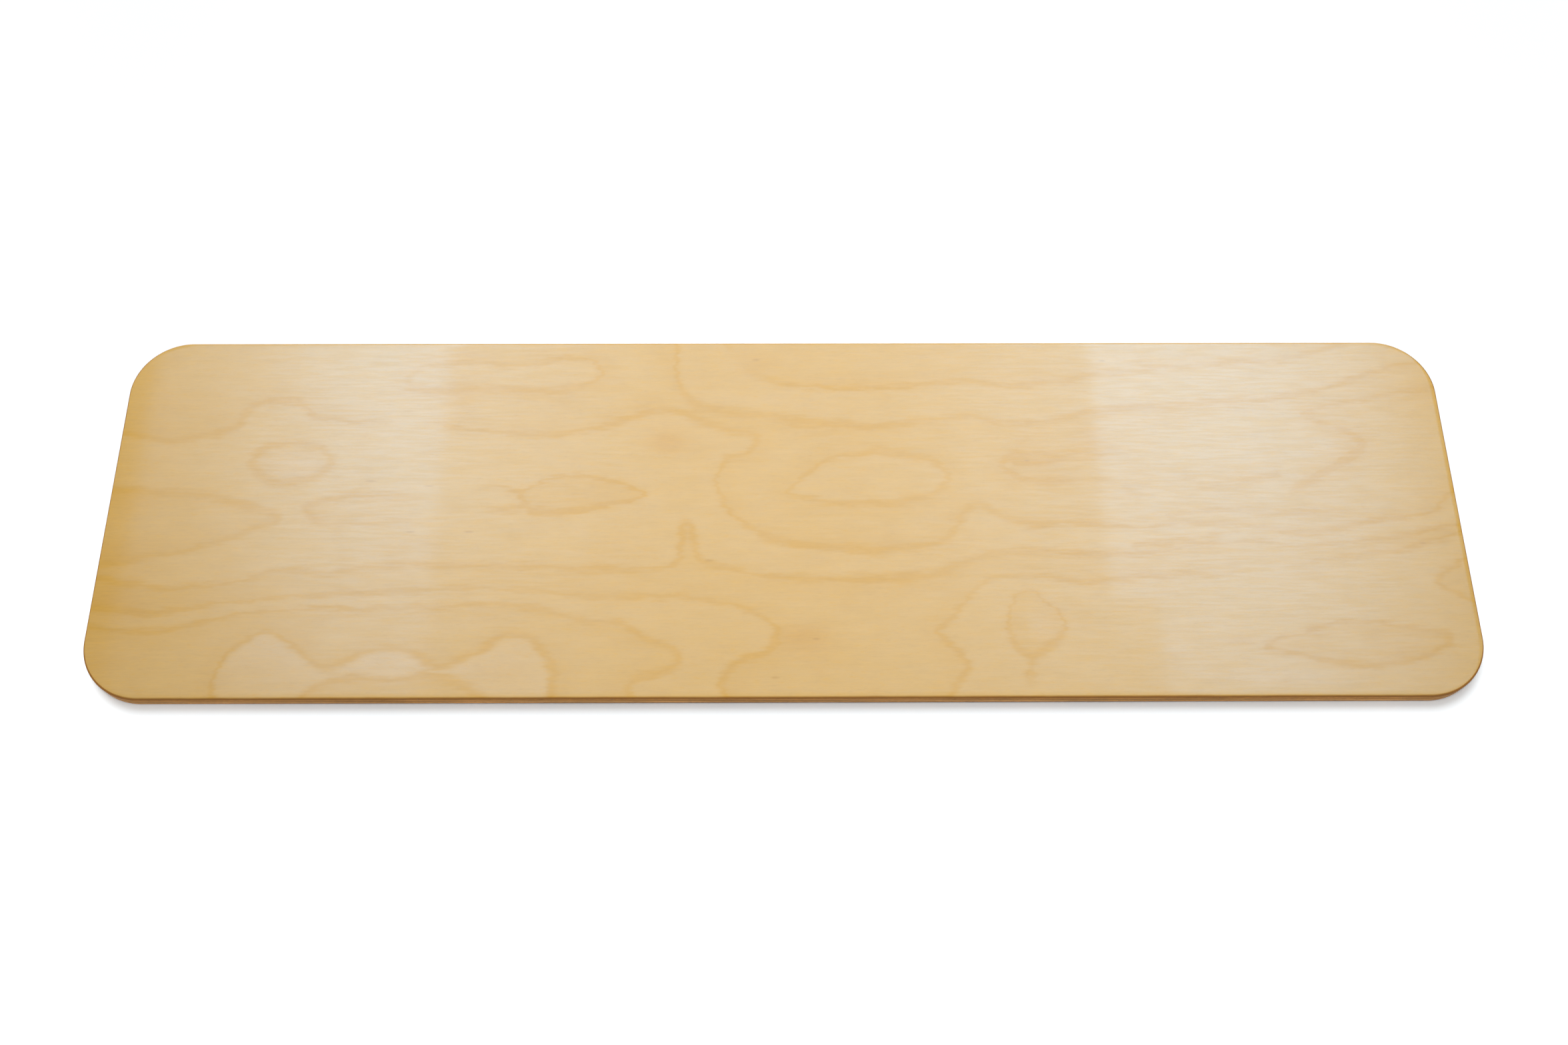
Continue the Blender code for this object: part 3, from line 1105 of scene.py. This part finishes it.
def build_outer_veneers(heights):
    """The face veneer and the back veneer, each with its own figure."""
    material = outer_veneer_material("lacquered_birch_face", flecks_through_lens(FACE_FLECKS))
    face, face_places = outer_veneer("birch_face_veneer", 1, heights[0][0], layer_wave(0), material)
    wood_places = face_places + np.column_stack(lens_pull(*face_places.T))
    figure = (FACE_RINGS, FACE_LINES, FACE_ZONES, FACE_ACCENTS, FACE_CLOUDS)
    add_figure(face.data, wood_places, *figure)
    place_piece(face, "face_veneer", "face_veneer")

    material = outer_veneer_material("lacquered_birch_back", BACK_FLECKS)
    wave = layer_wave(len(heights) - 2)
    back, back_places = outer_veneer("birch_back_veneer", -1, heights[-1][1], wave, material)
    figure = (BACK_RINGS, BACK_LINES, BACK_ZONES, BACK_ACCENTS, BACK_CLOUDS)
    add_figure(back.data, back_places, *figure)
    place_piece(back, "back_veneer", "back_veneer")


def build_inner_veneers(heights):
    """The core veneers and crossbands, and the resin in the crossbands' joints."""
    resin = resin_material()
    leans = iter(JOINT_LEANS)
    for number, layer in enumerate(LAYERS[1:-1], start=1):
        low, high = heights[number]
        fibre = 0 if "core" in layer else 1
        slot_name = "core_veneer" if "core" in layer else "crossband"
        material = inner_veneer_material("edge_of_" + layer, LAYER_COLOURS[layer], fibre)
        waves = (layer_wave(number), layer_wave(number - 1))
        whole = ply_mesh(layer, low, high, *waves)
        joints = joint_places(layer)
        if not joints:
            piece = finished_object("birch_" + layer, whole, material)
            place_piece(piece, slot_name, layer)
            continue

        recessed = ply_mesh(layer + "_resin", low, high, *waves, recess=JOINT_RECESS)
        cuts = [(place, math.radians(next(leans))) for place in joints]
        starts = [[]] + [[(place + JOINT_OPENING / 2, lean, -1)] for place, lean in cuts]
        ends = [[(place - JOINT_OPENING / 2, lean, 1)] for place, lean in cuts] + [[]]
        for node, start, end in zip(nodes_of(layer), starts, ends):
            sheet = finished_object("birch_" + node, cut_mesh(whole, node, start + end), material)
            place_piece(sheet, slot_name, node)
        for index, (place, lean) in enumerate(cuts, start=1):
            name = f"resin_in_{layer}_joint_{index}"
            reach = JOINT_OPENING / 2 - RESIN_CLEARANCE
            edges = ((place - reach, lean, -1), (place + reach, lean, 1))
            place_piece(finished_object(name, cut_mesh(recessed, name, edges), resin), "glue_line")
        bpy.data.meshes.remove(whole)
        bpy.data.meshes.remove(recessed)


def build_glue_lines(heights):
    """The dark resin film under each layer but the last, a little behind the board's edge."""
    resin = resin_material()
    for number in range(len(heights) - 1):
        low = heights[number + 1][1] + RESIN_CLEARANCE
        high = heights[number][0] - RESIN_CLEARANCE
        wave = layer_wave(number)
        mesh = ply_mesh(f"glue_line_{number + 1}", low, high, wave, wave, recess=GLUE_RECESS)
        place_piece(finished_object(f"glue_line_{number + 1}", mesh, resin), "glue_line")


# ---- the studio


def build_floor():
    """A large round sheet of white paper under the board."""
    mesh = bpy.data.meshes.new("studio_floor")
    work = bmesh.new()
    bmesh.ops.create_circle(work, cap_ends=True, radius=FLOOR_RADIUS, segments=FLOOR_SIDES)
    work.to_mesh(mesh)
    work.free()
    mesh.materials.append(floor_material())
    floor = bpy.data.objects.new("studio_floor", mesh)
    add_to_scene(floor)


def build_world():
    """Even soft light from all round."""
    world = bpy.data.worlds.new("studio_air")
    world.use_nodes = True
    background = world.node_tree.nodes["Background"]
    background.inputs["Color"].default_value = (1.0, 1.0, 1.0, 1.0)
    background.inputs["Strength"].default_value = WORLD_STRENGTH
    bpy.context.scene.world = world


def place_light(name, light, place, direction):
    """Puts a light in the scene, shining along a direction; it doesn't show in the lacquer."""
    lamp = bpy.data.objects.new(name, light)
    lamp.location = place
    lamp.rotation_euler = Vector(direction).to_track_quat("-Z", "Y").to_euler()
    lamp.visible_glossy = False
    add_to_scene(lamp)


def build_lights():
    """The wide soft sun and the spot over the board."""
    sun = bpy.data.lights.new("soft_sun", "SUN")
    sun.energy = SUN_STRENGTH
    sun.angle = SUN_ANGLE
    place_light("soft_sun", sun, (0, 0, 2 * PANEL_HEIGHT), SUN_DIRECTION)
    spot = bpy.data.lights.new("soft_spot", "SPOT")
    spot.energy = SPOT_POWER
    spot.spot_size = SPOT_ANGLE
    spot.spot_blend = SPOT_BLEND
    spot.shadow_soft_size = SPOT_RADIUS
    place_light("soft_spot", spot, SPOT_PLACE, Vector(SPOT_TARGET) - Vector(SPOT_PLACE))


def build_panel(name, height):
    """A clear, glowing shape over the board: it shows in the lacquer, and lights nothing else."""
    outline, brightness, fades = PANELS[name]
    mesh = bpy.data.meshes.new(name)
    corners = [(x, y, height) for x, y in outline]
    mesh.from_pydata(corners, [], [tuple(range(len(corners)))])
    look = Look(name)
    look.tree.nodes.remove(look.shader)
    place = look.node("ShaderNodeSeparateXYZ", {0: look.place})
    strength = brightness
    for axis, start, end in fades:
        strength = look.scaled(look.between(place.outputs[axis], start, end), strength)
    emission = look.node("ShaderNodeEmission", {"Color": rgba(PANEL_COLOUR), "Strength": strength})
    clear = look.node("ShaderNodeBsdfTransparent", {})
    both = look.node("ShaderNodeAddShader", {0: emission.outputs[0], 1: clear.outputs[0]})
    output = look.tree.nodes["Material Output"]
    look.tree.links.new(both.outputs[0], output.inputs["Surface"])
    mesh.materials.append(look.material)
    panel = bpy.data.objects.new(name, mesh)
    panel.visible_camera = False
    panel.visible_diffuse = False
    panel.visible_shadow = False
    add_to_scene(panel)


def build_camera():
    """The camera, from its angles, its distance and its small shift."""
    level_right = Vector((math.cos(CAMERA_YAW), -math.sin(CAMERA_YAW), 0))
    level_ahead = Vector((math.sin(CAMERA_YAW), math.cos(CAMERA_YAW), 0))
    forward = level_ahead * math.cos(CAMERA_PITCH) - Vector((0, 0, math.sin(CAMERA_PITCH)))
    level_up = level_right.cross(forward)
    right = math.cos(CAMERA_ROLL) * level_right + math.sin(CAMERA_ROLL) * level_up
    up = -math.sin(CAMERA_ROLL) * level_right + math.cos(CAMERA_ROLL) * level_up
    camera = bpy.data.cameras.new("camera")
    camera.lens = CAMERA_LENS
    camera.sensor_width = CAMERA_SENSOR
    camera.clip_start = CAMERA_CLIP_START
    viewer = bpy.data.objects.new("camera", camera)
    middle = Vector((0, 0, THICKNESS))
    place = middle - forward * CAMERA_DISTANCE + right * CAMERA_RIGHT + up * CAMERA_UP
    turn = Matrix((right, up, -forward)).transposed().to_4x4()
    viewer.matrix_world = Matrix.Translation(place) @ turn
    add_to_scene(viewer)
    bpy.context.scene.camera = viewer


def build_scene():
    """The board and the studio round it."""
    heights = layer_heights()
    build_outer_veneers(heights)
    build_inner_veneers(heights)
    build_glue_lines(heights)
    build_floor()
    build_world()
    build_lights()
    for number, name in enumerate(PANELS):
        build_panel(name, PANEL_HEIGHT + number * PANEL_GAP)
    build_camera()
    bpy.context.scene.view_settings.view_transform = "Standard"


build_scene()
